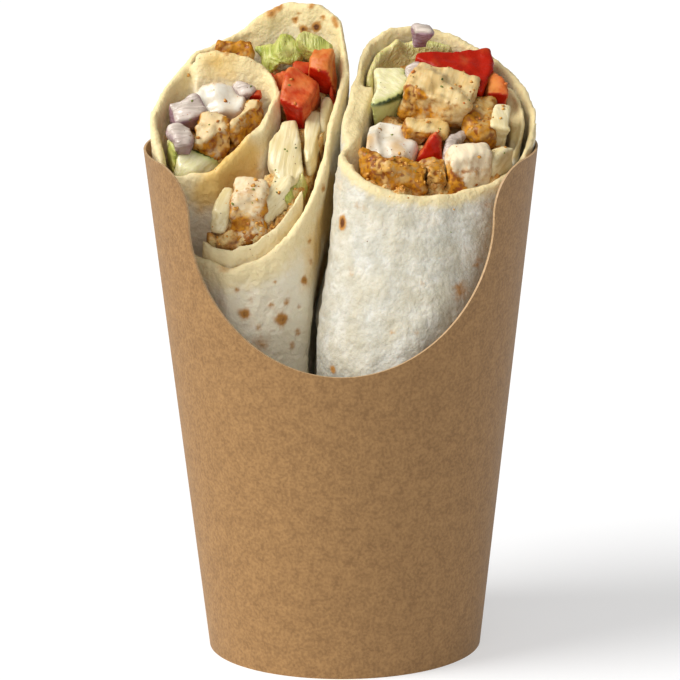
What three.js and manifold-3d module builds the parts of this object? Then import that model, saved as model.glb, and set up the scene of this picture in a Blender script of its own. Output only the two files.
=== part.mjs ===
// A rolled chicken wrap cut in two on the slant, both halves standing in a scooped cup of kraft board.
// Millimetres, +Z up. The cup stands on z = 0 and its low, scooped side faces -Y.
import * as THREE from "three";
import { mergeVertices } from "three/addons/utils/BufferGeometryUtils.js";
import Module from "manifold-3d";

const wasm = await Module();
wasm.setup();

// ---- driving dimensions ----

const GAP = 0.3; // clear space between pieces that touch

const CUP_RIM = 45; // outer radius at the top
const CUP_BASE = 31.5; // outer radius at the bottom
const CUP_HEIGHT = 117.4;
const BOARD = 0.5; // thickness of the kraft board
const CUP_SIDES = 36;
const FLOOR_HEIGHT = 8; // the base disc sits up inside the wall
const FOLD_HEIGHT = 7; // the wall's lower edge, folded inwards round the disc's skirt

// The scoop, seen from the front: a half ellipse with rounded shoulders up to the rim.
const SCOOP = { halfWidth: 34.3, depth: 33.3, middle: 105.8, shoulder: 7.2 };

const TORTILLA = 2.0; // thickness of the flatbread
const LEAF = 1.3; // thickness of a lettuce leaf
const BITE = TORTILLA + 0.4; // what the outer layer takes off the section's radius
const FOOD_BOTTOM = FLOOR_HEIGHT + BOARD + GAP;
const FOOD_ROUNDING = 15; // height over which the closed lower end is rounded
const CLOSED_END = 12; // flatbread folded in under the filling
const PIECE_DEPTH = 4.5; // how deep the cut pieces sit below the level of the filling

// The middle of the whole object lies a little behind the cup's axis, because the scoop takes
// the front of the rim away; the model is centred on its own box.
const CENTRE_SHIFT = -2.55;

// Each half of the wrap: how its middle (x, y) and its half widths (a, b) change with height, its
// outline at the cut as radii by angle, the slanted cut, and the level that its filling lies at.
const WRAPS = {
  right: {
    x: [[10, 12.5], [72, 13.5], [112, 21.5]],
    y: [[10, -4], [72, -9.5], [112, -2]],
    a: [[10, 15], [72, 21.5]],
    b: [[10, 19], [72, 24.5]],
    radii: [
      [0, 25.5], [32, 24.4], [60, 23.6], [86, 25], [107, 26], [123, 25.4], [140, 22.6], [153, 20.2],
      [171, 20.8], [186, 22.8], [203, 24.4], [225, 25.6], [241, 24.2], [266, 21.2], [293, 19.9],
      [318, 21.4], [342, 25],
    ],
    cut: { z: 124.3, slopeX: -0.13, slopeY: 0.68 },
    fill: { z: 121.6, slopeX: -0.13, slopeY: 0.6 },
  },
  left: {
    x: [[10, -13], [72, -22.5], [106, -20.5]],
    y: [[10, 3], [72, 2], [106, 0]],
    a: [[10, 15], [72, 21]],
    b: [[10, 20], [72, 24.5]],
    radii: [
      [0, 20.5], [14, 24.6], [28, 27.2], [42, 26.2], [60, 23.4], [85, 20.8], [110, 20.3], [135, 21],
      [160, 22.4], [180, 23.6], [200, 25], [225, 25.4], [250, 24.8], [270, 22], [296, 20.5],
      [325, 20.3], [345, 18.8],
    ],
    cut: { z: 124.3, slopeX: 0.06, slopeY: 1.19 },
    fill: { z: 118, slopeX: 0.06, slopeY: 0.95 },
  },
};

// ---- small helpers ----

const radians = THREE.MathUtils.degToRad;

function smooth(t) {
  const c = THREE.MathUtils.clamp(t, 0, 1);
  return c * c * (3 - 2 * c);
}

// A value that eases from one [position, value] step to the next.
function along(steps, position) {
  const last = steps.length - 1;
  if (position <= steps[0][0]) return steps[0][1];
  if (position >= steps[last][0]) return steps[last][1];
  const next = steps.findIndex((step) => position < step[0]);
  const [p0, v0] = steps[next - 1];
  const [p1, v1] = steps[next];
  return v0 + (v1 - v0) * smooth((position - p0) / (p1 - p0));
}

// The same round a full turn of degrees.
function around(steps, degrees) {
  const turn = ((degrees % 360) + 360) % 360;
  const [first, value] = steps[0];
  return along([...steps, [first + 360, value]], turn);
}

// The lesser of several lengths, with the corner between them rounded off.
function softLeast(lengths) {
  const sharpness = 14;
  const sum = lengths.reduce((total, length) => total + length ** -sharpness, 0);
  return sum ** (-1 / sharpness);
}

// The value of a slanted plane of a wrap, such as its cut, above the point (x, y).
function planeHeight(wrap, plane, x, y) {
  const middle = [along(wrap.x, CUP_HEIGHT), along(wrap.y, CUP_HEIGHT)];
  return plane.z + plane.slopeX * (x - middle[0]) + plane.slopeY * (y - middle[1]);
}

function cupRadius(z) {
  return CUP_BASE + ((CUP_RIM - CUP_BASE) * z) / CUP_HEIGHT;
}

// ---- the section of each half of the wrap ----

// Free radius of the half at a height and angle, before its neighbour presses on it: an oval low
// down, the outline of the cut at the top, and never through the cup, over whose rim it leans.
function freeRadius(wrap, z, angle) {
  const lean = 0.3;
  const dx = Math.cos(angle);
  const dy = Math.sin(angle);
  const cx = along(wrap.x, z);
  const cy = along(wrap.y, z);
  const oval = 1 / Math.hypot(dx / along(wrap.a, z), dy / along(wrap.b, z));
  const atCut = around(wrap.radii, THREE.MathUtils.radToDeg(angle));
  const own = THREE.MathUtils.lerp(oval, atCut, smooth((z - 72) / 36));
  const room = cupRadius(z) - BOARD - 2 * GAP + Math.max(0, z - CUP_HEIGHT) * lean;
  const towards = cx * dx + cy * dy;
  const wall = Math.sqrt(Math.max(towards ** 2 - cx ** 2 - cy ** 2 + room ** 2, 0.01)) - towards;
  return softLeast([own, wall]);
}

// How far a ray from the left half's middle runs before it meets the right half.
function reachToNeighbour(z, angle, longest) {
  const [left, right] = [WRAPS.left, WRAPS.right];
  const keepOff = 3 * GAP;
  const pace = 0.5;
  for (let reach = 6; reach < longest; reach += pace) {
    const dx = along(left.x, z) + reach * Math.cos(angle) - along(right.x, z);
    const dy = along(left.y, z) + reach * Math.sin(angle) - along(right.y, z);
    const inside = freeRadius(right, z, Math.atan2(dy, dx)) + keepOff - Math.hypot(dx, dy);
    if (inside > 0) return reach - Math.min(inside, pace);
  }
  return longest;
}

// The radii of one level of a wrap, a turn of equal steps. The left half gives way where the right
// half presses on it, and its outline turns in and out of that dent on an easy slope.
const TURN_STEPS = 72;
const LEVEL_STEP = 3;

function levelRadii(wrap, z) {
  const radii = [];
  for (let i = 0; i < TURN_STEPS; i++) {
    const angle = (i / TURN_STEPS) * 2 * Math.PI;
    const free = freeRadius(wrap, z, angle);
    radii.push(wrap === WRAPS.left ? reachToNeighbour(z, angle, free) : free);
  }
  const slope = 1.6;
  const neighbours = 9;
  return radii.map((radius, i) => {
    let least = radius;
    for (let k = -neighbours; k <= neighbours; k++) {
      const other = radii[(i + k + TURN_STEPS) % TURN_STEPS];
      least = Math.min(least, other + (slope * Math.abs(k) * other * 2 * Math.PI) / TURN_STEPS);
    }
    return least;
  });
}

for (const wrap of Object.values(WRAPS)) {
  wrap.levels = [];
  for (let z = 0; z <= 165; z += LEVEL_STEP) wrap.levels.push(levelRadii(wrap, z));
}

function sectionRadius(wrap, z, angle) {
  const level = THREE.MathUtils.clamp(z / LEVEL_STEP, 0, wrap.levels.length - 1.001);
  const turn = ((angle / (2 * Math.PI) + 1) % 1) * TURN_STEPS;
  const low = wrap.levels[Math.floor(level)];
  const high = wrap.levels[Math.floor(level) + 1];
  const i = Math.floor(turn);
  const next = (i + 1) % TURN_STEPS;
  const below = THREE.MathUtils.lerp(low[i], low[next], turn - i);
  const above = THREE.MathUtils.lerp(high[i], high[next], turn - i);
  const radius = THREE.MathUtils.lerp(below, above, level - Math.floor(level));
  const closed = Math.max(0, FOOD_BOTTOM + FOOD_ROUNDING - z) / FOOD_ROUNDING;
  return radius * (1 - 0.28 * closed ** 2);
}

// Where a point of the section lies at height z. The section is told as a disc: inside radius 1 is
// the filling's room, and the outer layer of flatbread runs along OUTER.
const OUTER = 1.07;

function place(wrap, z, x, y) {
  const angle = Math.atan2(y, x);
  const rho = Math.hypot(x, y);
  const outward = Math.max(0, rho - 1) * 20;
  const radius = (sectionRadius(wrap, z, angle) - BITE) * Math.min(rho, 1) + outward;
  const px = along(wrap.x, z) + radius * Math.cos(angle);
  const py = along(wrap.y, z) + radius * Math.sin(angle);
  return new THREE.Vector3(px, py, z);
}

// The height at which a line of the section meets a slanted plane.
function meet(wrap, plane, x, y, lift) {
  let z = plane.z;
  for (let i = 0; i < 4; i++) {
    const point = place(wrap, z, x, y);
    z = planeHeight(wrap, plane, point.x, point.y) + lift;
  }
  return z;
}

// A point of the section's disc, by its angle in degrees and its radius.
function polar(degrees, rho) {
  return [rho * Math.cos(radians(degrees)), rho * Math.sin(radians(degrees))];
}

// ---- solids ----

function toSolid(geometry) {
  geometry.deleteAttribute("normal");
  geometry.deleteAttribute("uv");
  const merged = mergeVertices(geometry, 1e-4);
  const vertProperties = new Float32Array(merged.attributes.position.array);
  const triVerts = new Uint32Array(merged.index.array);
  return new wasm.Manifold(new wasm.Mesh({ numProp: 3, vertProperties, triVerts }));
}

function moveVertices(geometry, change) {
  const position = geometry.attributes.position;
  const point = new THREE.Vector3();
  for (let i = 0; i < position.count; i++) {
    point.fromBufferAttribute(position, i);
    change(point);
    position.setXYZ(i, point.x, point.y, point.z);
  }
  return geometry;
}

const model = new THREE.Group();
const centred = new THREE.Group();
centred.position.y = CENTRE_SHIFT;
model.add(centred);

function addMesh(name, solid, color, roughness) {
  const { vertProperties, triVerts } = solid.getMesh();
  const geometry = new THREE.BufferGeometry();
  geometry.setAttribute("position", new THREE.BufferAttribute(new Float32Array(vertProperties), 3));
  geometry.setIndex(new THREE.BufferAttribute(new Uint32Array(triVerts), 1));
  geometry.computeBoundingBox();
  const centre = geometry.boundingBox.getCenter(new THREE.Vector3());
  geometry.translate(-centre.x, -centre.y, -centre.z);
  geometry.computeVertexNormals();
  const material = new THREE.MeshStandardMaterial({ color, roughness, metalness: 0 });
  const mesh = new THREE.Mesh(geometry, material);
  mesh.name = name;
  mesh.position.copy(centre);
  centred.add(mesh);
}

// ---- the cup ----

const KRAFT = 0xb98c5e;

// One board wall, its lower edge folded inwards and up so that it grips the base's skirt.
function cupWall() {
  const slot = BOARD + 2 * GAP;
  const fold = CUP_BASE - BOARD - slot;
  const inner = (z) => cupRadius(z) - BOARD;
  const profile = [
    [CUP_BASE, 0],
    [cupRadius(CUP_HEIGHT / 2), CUP_HEIGHT / 2],
    [CUP_RIM, CUP_HEIGHT],
    [inner(CUP_HEIGHT), CUP_HEIGHT],
    [inner(CUP_HEIGHT / 2), CUP_HEIGHT / 2],
    [inner(FOLD_HEIGHT + BOARD + 2), FOLD_HEIGHT + BOARD + 2],
    [inner(BOARD), BOARD],
    [fold, BOARD],
    [fold, FOLD_HEIGHT],
    [fold - BOARD, FOLD_HEIGHT],
    [fold - BOARD, 0],
    [CUP_BASE, 0],
  ];
  const points = profile.map(([r, z]) => new THREE.Vector2(r, z));
  const lathe = new THREE.LatheGeometry(points, CUP_SIDES);
  lathe.rotateX(Math.PI / 2);
  return toSolid(lathe).subtract(scoopCutter());
}

function scoopCutter() {
  const above = CUP_HEIGHT + 5;
  const { halfWidth, depth, middle, shoulder } = SCOOP;
  const outline = new THREE.Shape();
  outline.moveTo(-halfWidth - shoulder, above);
  outline.lineTo(-halfWidth - shoulder, CUP_HEIGHT);
  const rise = CUP_HEIGHT - middle;
  outline.absellipse(-halfWidth - shoulder, middle, shoulder, rise, Math.PI / 2, 0, true);
  outline.absellipse(0, middle, halfWidth, depth, Math.PI, 2 * Math.PI, false);
  outline.absellipse(halfWidth + shoulder, middle, shoulder, rise, Math.PI, Math.PI / 2, true);
  outline.lineTo(halfWidth + shoulder, above);
  outline.closePath();
  const cutter = new THREE.ExtrudeGeometry(outline, {
    depth: CUP_RIM + 5,
    bevelEnabled: false,
    curveSegments: 12,
  });
  cutter.rotateX(Math.PI / 2);
  return toSolid(cutter);
}

// The base disc, with its skirt turned down into the slot of the wall.
function cupBase() {
  const skirt = CUP_BASE - BOARD - GAP;
  const skirtFoot = BOARD + GAP;
  const profile = [
    [0, FLOOR_HEIGHT],
    [skirt - BOARD, FLOOR_HEIGHT],
    [skirt - BOARD, skirtFoot],
    [skirt, skirtFoot],
    [skirt, FLOOR_HEIGHT + BOARD],
    [0, FLOOR_HEIGHT + BOARD],
  ];
  const points = profile.map(([r, z]) => new THREE.Vector2(r, z));
  const lathe = new THREE.LatheGeometry(points, CUP_SIDES);
  lathe.rotateX(Math.PI / 2);
  return toSolid(lathe);
}

addMesh("cup_wall", cupWall(), KRAFT, 0.85);
addMesh("cup_base", cupBase(), KRAFT, 0.85);

// ---- flatbread ----

const ROW_SPACING = 1.25; // above 1, rows of faces lie closer together near the foot

// A sheet that follows a line through the section, from the foot of the food (or a set depth) up
// to the slanted cut. Each point of the line is [x, y, lift of the rim above the cut].
function sheet(wrap, line, { thickness, pieces, rows, depth, below = 0 }) {
  const points = line.map(([x, y, lift]) => new THREE.Vector3(x, y, lift));
  const route = new THREE.CatmullRomCurve3(points, false, "centripetal");
  const geometry = new THREE.BoxGeometry(1, 1, 1, pieces, rows, 1);
  const at = new THREE.Vector3();
  const ahead = new THREE.Vector3();
  const behind = new THREE.Vector3();
  return moveVertices(geometry, (point) => {
    const s = point.x + 0.5;
    const t = point.y + 0.5;
    const across = point.z * thickness;
    route.getPointAt(s, at);
    const top = meet(wrap, wrap.cut, at.x, at.y, at.z - below);
    const bottom = depth ? top - depth : FOOD_BOTTOM;
    const z = THREE.MathUtils.lerp(bottom, top, depth ? t : t ** ROW_SPACING);
    const middle = place(wrap, z, at.x, at.y);
    route.getPointAt(Math.min(1, s + 0.004), ahead);
    route.getPointAt(Math.max(0, s - 0.004), behind);
    const run = place(wrap, z, ahead.x, ahead.y).sub(place(wrap, z, behind.x, behind.y));
    const side = new THREE.Vector3(run.y, -run.x, 0).normalize();
    point.copy(middle).addScaledVector(side, across);
  });
}

// A layer round the section at one radius, from one angle to another, its lift read from a ring.
function layer(from, to, step, rho, lifts) {
  const turn = [];
  for (let degrees = from; degrees <= to; degrees += step) {
    turn.push([...polar(degrees, rho), around(lifts, degrees)]);
  }
  return turn;
}

// Right half: once round from its loose edge beside the other half, then folded back inside it.
const RIGHT_LIFTS = [[0, 0.5], [90, 0], [150, 0], [185, -1], [200, -2.5], [225, 0], [300, 0]];
const RIGHT_ROLL = [
  ...layer(202, 538, 16.8, OUTER, RIGHT_LIFTS),
  [...polar(189, 1.0), -0.5],
  [...polar(199, 0.95), -1],
  [...polar(204, 0.9), -1.5],
  [...polar(199, 0.86), -1.5],
  [...polar(185, 0.855), -1],
  [...polar(168, 0.875), -0.5],
  [...polar(154, 0.91), 0],
];
const RIGHT_FOLD = [
  [...polar(-15, 0.93), -2],
  [...polar(-2, 0.945), -0.5],
  [...polar(14, 0.945), 0],
  [...polar(30, 0.945), -0.5],
  [...polar(37, 0.905), -1],
  [...polar(30, 0.86), -1.5],
  [...polar(14, 0.86), -1.5],
  [...polar(-2, 0.87), -2.5],
];

// Left half: once round, then in again as a second, smaller roll with its own filling.
const LEFT_LIFTS = [
  [0, 0], [35, 1], [60, -0.3], [85, -3.5], [106, -7], [136, -5], [160, -3], [180, 0], [205, 0],
  [231, -4], [250, -4.5], [268, -4], [288, -3.5], [304, -2], [325, 0.5],
];
const LEFT_ROLL = [
  ...layer(222, 541, 15.95, OUTER, LEFT_LIFTS),
  [...polar(190, 1.05), 0],
  [-0.93, -0.43, 0],
  [-0.68, -0.51, 0],
  [-0.33, -0.36, 0],
  [0.01, -0.19, 0],
  [0.2, -0.02, 0],
  [0.26, 0.2, -0.5],
  [0.19, 0.44, -1.5],
  [-0.03, 0.55, 0.5],
  [-0.33, 0.6, 1],
  [-0.52, 0.62, 1],
  [-0.68, 0.59, 0.5],
];

// The flatbread's first edge, which lies against the inside of the left half's front.
const LEFT_LIP = [
  [...polar(240, 0.955), -2.5],
  [...polar(254, 0.955), -3.5],
  [...polar(268, 0.955), -3],
  [...polar(284, 0.955), -2.5],
  [...polar(300, 0.955), -1.5],
  [...polar(314, 0.94), 0],
];

const BREAD = 0xece2c6;
const rollShape = { thickness: TORTILLA, pieces: 48, rows: 6 };
const foldShape = { thickness: TORTILLA * 0.65, pieces: 13, rows: 2, depth: 22 };
const lipShape = { ...foldShape, pieces: 8 };

addMesh("tortilla_left", toSolid(sheet(WRAPS.left, LEFT_ROLL, rollShape)), BREAD, 0.7);
addMesh("tortilla_right", toSolid(sheet(WRAPS.right, RIGHT_ROLL, rollShape)), BREAD, 0.7);
addMesh("tortilla_fold_right", toSolid(sheet(WRAPS.right, RIGHT_FOLD, foldShape)), BREAD, 0.7);
addMesh("tortilla_lip_left", toSolid(sheet(WRAPS.left, LEFT_LIP, lipShape)), BREAD, 0.7);

// ---- the fillings ----

// The rooms that the flatbread leaves in the section, as closed lines through the disc.
const ROOMS = {
  right: [
    [0, 0.8], [20, 0.79], [38, 0.8], [52, 0.97], [68, 0.99], [90, 0.99], [112, 0.99], [136, 0.98],
    [150, 0.84], [162, 0.77], [182, 0.74], [200, 0.76], [211, 0.83], [219, 0.97], [240, 0.99],
    [265, 0.99], [290, 0.99], [315, 0.99], [334, 0.98], [344, 0.83],
  ].map(([degrees, rho]) => polar(degrees, rho)),
  pocket: [
    [-0.08, 0.42], [-0.33, 0.46], [-0.58, 0.43], [-0.72, 0.38], [-0.9, 0.28], [-0.97, 0.12],
    [-0.96, -0.04], [-0.88, -0.2], [-0.78, -0.34], [-0.6, -0.36], [-0.33, -0.22], [-0.08, -0.08],
    [0.07, 0.03], [0.14, 0.17], [0.12, 0.33],
  ],
  left: [
    ...[235, 248, 266, 284, 302, 320, 334].map((degrees) => polar(degrees, 0.87)),
    ...[341, 356, 12, 24, 36].map((degrees) => polar(degrees, 0.93)),
    ...[46, 58, 72, 88, 104, 120, 130].map((degrees) => polar(degrees, 0.97)),
    [-0.5, 0.73], [-0.3, 0.72], [0, 0.66], [0.26, 0.54], [0.365, 0.28], [0.35, 0.02], [0.2, -0.17],
    [-0.04, -0.34], [-0.34, -0.51],
  ],
};

// A solid that fills a room between two slanted levels.
function plug(wrap, room, rows, bottom, top) {
  const points = room.map(([x, y]) => new THREE.Vector2(x, y));
  const geometry = new THREE.ExtrudeGeometry(new THREE.Shape(points), {
    depth: 1,
    steps: rows,
    bevelEnabled: false,
  });
  moveVertices(geometry, (point) => {
    const low = bottom(point.x, point.y);
    const high = top(point.x, point.y);
    const z = THREE.MathUtils.lerp(low, high, point.z ** ROW_SPACING);
    point.copy(place(wrap, z, point.x, point.y));
  });
  return toSolid(geometry);
}

// A room's outline drawn in a little all round, by a distance in the disc.
function drawnIn(room, distance) {
  return room.map(([x, y], i) => {
    const before = room[(i + room.length - 1) % room.length];
    const after = room[(i + 1) % room.length];
    const run = new THREE.Vector2(after[0] - before[0], after[1] - before[1]).setLength(distance);
    return [x - run.y, y + run.x];
  });
}

// The packed filling below the cut pieces, a little loose in its room.
function core(wrap, room) {
  const foot = () => FOOD_BOTTOM + CLOSED_END;
  const top = (x, y) => meet(wrap, wrap.fill, x, y, -PIECE_DEPTH);
  return plug(wrap, drawnIn(room, 0.04), 6, foot, top);
}

function pieceRoom(wrap, room) {
  const headroom = 18;
  const floor = (x, y) => meet(wrap, wrap.fill, x, y, GAP - PIECE_DEPTH);
  const top = (x, y) => meet(wrap, wrap.fill, x, y, headroom);
  return plug(wrap, drawnIn(room, 0.015), 3, floor, top);
}

const LETTUCE = 0xb5cc62;

// The leaf that lines the back of the right half.
const LINER = layer(78, 148, 14, 0.93, [[0, 0]]);
const linerShape = { thickness: LEAF, pieces: 10, rows: 2, depth: 7, below: 1 };
const linerRoom = { ...linerShape, thickness: LEAF + 2 * GAP, depth: linerShape.depth + 1, below: 0.5 };
const linerSpace = toSolid(sheet(WRAPS.right, LINER, linerRoom));
addMesh("lettuce_right", toSolid(sheet(WRAPS.right, LINER, linerShape)), LETTUCE, 0.5);

const STUFFING = 0xcfa15a;
addMesh("filling_right", core(WRAPS.right, ROOMS.right), STUFFING, 0.6);
addMesh("filling_left_pocket", core(WRAPS.left, ROOMS.pocket), STUFFING, 0.6);
addMesh("filling_left", core(WRAPS.left, ROOMS.left), STUFFING, 0.6);

// ---- the cut pieces that show at the top ----

// An uneven block: a cube whose corners are drawn in towards a ball, with a few soft dents.
function block([width, length, height], { round = 0.3, uneven = 0.07, seed = 1 }) {
  const geometry = new THREE.BoxGeometry(2, 2, 2, 2, 2, 2);
  return moveVertices(geometry, (point) => {
    const ball = point.clone().normalize().multiplyScalar(1.22);
    point.lerp(ball, round);
    const wave = Math.sin(2.1 * point.x + 1.3 * seed) + Math.sin(2.7 * point.y + 2.9 * seed);
    point.multiplyScalar(1 + uneven * 0.5 * (wave + Math.sin(3.1 * point.z + 4.1 * seed)));
    point.x *= width / 2;
    point.y *= length / 2;
    point.z *= height / 2;
  });
}

// A quarter of a thick slice, its corner at one end and its skin round the other.
function quarter([radius, , height]) {
  const outline = new THREE.Shape();
  outline.moveTo(0, 0);
  outline.lineTo(radius, 0);
  outline.absarc(0, 0, radius, 0, Math.PI / 2, false);
  outline.closePath();
  const shape = { depth: height, bevelEnabled: false, curveSegments: 7 };
  const geometry = new THREE.ExtrudeGeometry(outline, shape);
  return geometry.translate(-radius * 0.45, -radius * 0.45, -height / 2);
}

// A wedge cut from a round fruit: thin at one end, wide and slanting at the other.
function wedge([width, length, height]) {
  const outline = new THREE.Shape();
  outline.moveTo(-width / 2, length * 0.06);
  outline.lineTo(width * 0.34, -length / 2);
  outline.lineTo(width * 0.47, -length * 0.1);
  outline.lineTo(width / 2, length / 2);
  outline.lineTo(width * 0.05, length * 0.32);
  outline.lineTo(-width / 2, length * 0.18);
  outline.closePath();
  const geometry = new THREE.ExtrudeGeometry(outline, { depth: height, bevelEnabled: false });
  return geometry.translate(0, 0, -height / 2);
}

// A cut corner of a tomato, standing on its wide side.
function corner([width, , height]) {
  const geometry = new THREE.ConeGeometry(width * 0.68, height, 4, 1);
  return geometry.rotateX(Math.PI / 2).rotateZ(Math.PI / 5);
}

// A strip that bends over along its length and narrows to its ends.
function strip([width, length, height], { bend = 0.2 }) {
  const geometry = new THREE.BoxGeometry(1, 2, 1, 1, 3, 1);
  return moveVertices(geometry, (point) => {
    const along = point.y;
    const taper = 1 - 0.25 * along * along;
    point.x = point.x * width * taper + bend * length * 0.5 * (along * along - 0.4);
    point.y = (along * length) / 2;
    point.z = point.z * height * taper - bend * length * 0.25 * along * along;
  });
}

// A folded piece of leaf, waved along and across.
function leaf([width, length, height], { seed = 1 }) {
  const geometry = new THREE.BoxGeometry(2, 2, 1, 5, 3, 1);
  return moveVertices(geometry, (point) => {
    const crest = Math.sin(2.6 * point.x + seed) * 0.6 + Math.sin(3.4 * point.y + 2 * seed) * 0.4;
    const edge = 1 - 0.12 * (1 + Math.sin(5 * point.x + 3 * point.y));
    const lift = point.z * LEAF + crest * (height - LEAF) * 0.5;
    point.set((point.x * edge * width) / 2, (point.y * edge * length) / 2, lift);
  });
}

const FORMS = { block, quarter, wedge, corner, strip, leaf };

const CHICKEN = 0xd49a4c;
const TOMATO = 0xc93a22;
const CUCUMBER = 0xc9d69a;
const ONION = 0xd9c3cc;
const CABBAGE = 0xefe9cf;
const SAUCE = 0xf6f3ea;

// Each piece: its middle across, up the slope and above the level of the filling; its size the
// same three ways; how it is turned flat, and tipped forward and sideways, in degrees.
const RIGHT_PIECES = [
  { name: "onion_right_2", color: ONION,
    at: [-4.6, 12.6, 3.4], size: [6.5, 5, 4.5], turn: 20, round: 0.4 },
  { name: "chicken_right_1", color: CHICKEN,
    at: [0.6, 6.5, 3], size: [15.5, 12, 11], turn: -14 },
  { name: "chicken_right_2", color: CHICKEN,
    at: [-10, -18.5, -0.5], size: [17, 8, 8], turn: -16 },
  { name: "chicken_right_3", color: CHICKEN,
    at: [8, -15, 1], size: [9.5, 9.5, 9], turn: 8 },
  { name: "cucumber_right", color: CUCUMBER, form: "quarter",
    at: [-12, 8, 1], size: [13, 13, 6.5], turn: -90, tip: 10 },
  { name: "tomato_right_2", color: TOMATO,
    at: [14, 11.5, 2], size: [7, 8.5, 9], turn: 5, round: 0.35 },
  { name: "tomato_right_1", color: TOMATO, form: "wedge",
    at: [3, 14.6, 3], size: [17.5, 15, 8] },
  { name: "chicken_right_4", color: CHICKEN,
    at: [9.8, 1.5, 1], size: [6.5, 12, 8.5], turn: 4 },
  { name: "cabbage_right_1", color: CABBAGE,
    at: [15.8, 0, 2], size: [6.5, 8, 8], turn: -8, round: 0.2 },
  { name: "tomato_right_3", color: TOMATO, form: "corner",
    at: [0, -8, 2.2], size: [7, 7, 8] },
  { name: "chicken_right_5", color: CHICKEN,
    at: [-2.4, -3.8, 0.5], size: [10, 5.5, 7.5], turn: 2 },
  { name: "onion_right_3", color: ONION, form: "strip",
    at: [4.4, -8, 1.6], size: [2, 10, 4.5], turn: -16, bend: 0.3 },
  { name: "chicken_right_6", color: CHICKEN,
    at: [0.6, -16, -0.5], size: [7.5, 6.5, 7], turn: 10 },
  { name: "cabbage_right_2", color: CABBAGE,
    at: [16.2, -12, 0], size: [6.5, 9, 8], turn: 14, round: 0.4 },
  { name: "onion_right_1", color: ONION,
    at: [-5.6, 23, 7.5], size: [4.6, 4.4, 5.5], turn: 15, round: 0.3 },
  { name: "sauce_right", color: SAUCE,
    at: [-10, -7, -1.5], size: [12.5, 12, 6], round: 0.7 },
];

const POCKET_PIECES = [
  { name: "chicken_left_1", color: CHICKEN,
    at: [0.6, 3.4, 1.5], size: [7.5, 11, 9], turn: -28 },
  { name: "chicken_left_2", color: CHICKEN,
    at: [-8.6, 0.5, 1.5], size: [7.5, 9.5, 9], turn: -18 },
  { name: "lettuce_left_2", color: LETTUCE,
    at: [-18.8, -3, 1.5], size: [3.6, 5, 6], round: 0.3 },
  { name: "cucumber_left", color: CUCUMBER, form: "quarter",
    at: [-13.2, -4.5, 0], size: [11, 11, 6], turn: 8, tip: 10 },
  { name: "onion_left_1", color: ONION,
    at: [-14.2, 7.8, 2], size: [7, 6, 6], turn: 20, round: 0.3 },
  { name: "onion_left_2", color: ONION,
    at: [-16.4, -1.2, 5], size: [6, 5, 4.5], turn: -12, round: 0.3 },
  { name: "onion_left_3", color: ONION,
    at: [-0.8, 13.2, 2], size: [3.8, 3.8, 4.5], turn: 25, round: 0.3 },
  { name: "tomato_left_5", color: TOMATO,
    at: [2, 13, 1], size: [4, 4.5, 5.5], round: 0.2 },
  { name: "chicken_left_3", color: CHICKEN,
    at: [-3.4, -2, -1.5], size: [6, 5, 5], turn: 30 },
  { name: "sauce_left", color: SAUCE,
    at: [-7.2, 11, 0.5], size: [13, 9, 7], round: 0.7 },
];

const LEFT_PIECES = [
  { name: "lettuce_left_4", color: LETTUCE,
    at: [10.4, -14.8, 1], size: [8, 3.2, 6], turn: 54, round: 0.3 },
  { name: "lettuce_left_3", color: LETTUCE,
    at: [16, 21.6, 5.5], size: [8, 4, 6], turn: -30, round: 0.4 },
  { name: "lettuce_left_1", color: LETTUCE, form: "leaf",
    at: [8, 22.5, 4], size: [11, 8, 7], turn: 10, seed: 1 },
  { name: "tomato_left_1", color: TOMATO,
    at: [8.6, 11.4, 2.5], size: [14, 8.5, 9], turn: -34, round: 0.12 },
  { name: "tomato_left_2", color: TOMATO,
    at: [18.2, 16.2, 4.5], size: [6.6, 7, 9], turn: -20, round: 0.4 },
  { name: "tomato_left_3", color: TOMATO,
    at: [20.4, 11, 1.5], size: [3.2, 4.5, 7], round: 0.2 },
  { name: "tomato_left_4", color: TOMATO,
    at: [13, 17.4, 2], size: [4.5, 3.6, 5], round: 0.2 },
  { name: "cabbage_left_1", color: CABBAGE, form: "strip",
    at: [8, -5, 1], size: [7, 18, 4], turn: 4, bend: 0.08 },
  { name: "cabbage_left_2", color: CABBAGE, form: "strip",
    at: [5.4, -18.5, 1.5], size: [5.2, 17, 4], turn: -12, bend: 0.06 },
  { name: "cabbage_left_3", color: CABBAGE, form: "strip",
    at: [14.4, -2, 0.5], size: [3.6, 17, 4], turn: -2, bend: 0.06 },
  { name: "cabbage_left_4", color: CABBAGE, form: "strip",
    at: [17.8, 3, 0.5], size: [2.6, 14, 4.5], turn: -4, bend: 0.04 },
  { name: "chicken_left_4", color: CHICKEN,
    at: [-1.2, -18.5, 0.5], size: [7.6, 13, 8], turn: -10 },
  { name: "cabbage_left_5", color: CABBAGE, form: "strip",
    at: [-7.6, -21, 1.5], size: [3.4, 15, 4], turn: -20, bend: -0.05 },
  { name: "chicken_left_5", color: CHICKEN,
    at: [-3, 23.5, 3], size: [9, 4.5, 6], turn: -8 },
];

// The pieces lie on the slanted level of their half's filling.
function restingPlace(wrap, { at, turn = 0, tip = 0, roll = 0 }) {
  const { z, slopeX, slopeY } = wrap.fill;
  const across = new THREE.Vector3(1, 0, slopeX).normalize();
  const out = new THREE.Vector3(-slopeX, -slopeY, 1).normalize();
  const upSlope = new THREE.Vector3().crossVectors(out, across);
  const slope = new THREE.Matrix4().makeBasis(across, upSlope, out);
  const middle = new THREE.Vector3(along(wrap.x, CUP_HEIGHT), along(wrap.y, CUP_HEIGHT), z);
  slope.setPosition(middle);
  const turned = new THREE.Euler(radians(tip), radians(roll), radians(turn), "ZXY");
  const own = new THREE.Matrix4().makeRotationFromEuler(turned).setPosition(...at);
  return slope.multiply(own);
}

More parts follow.
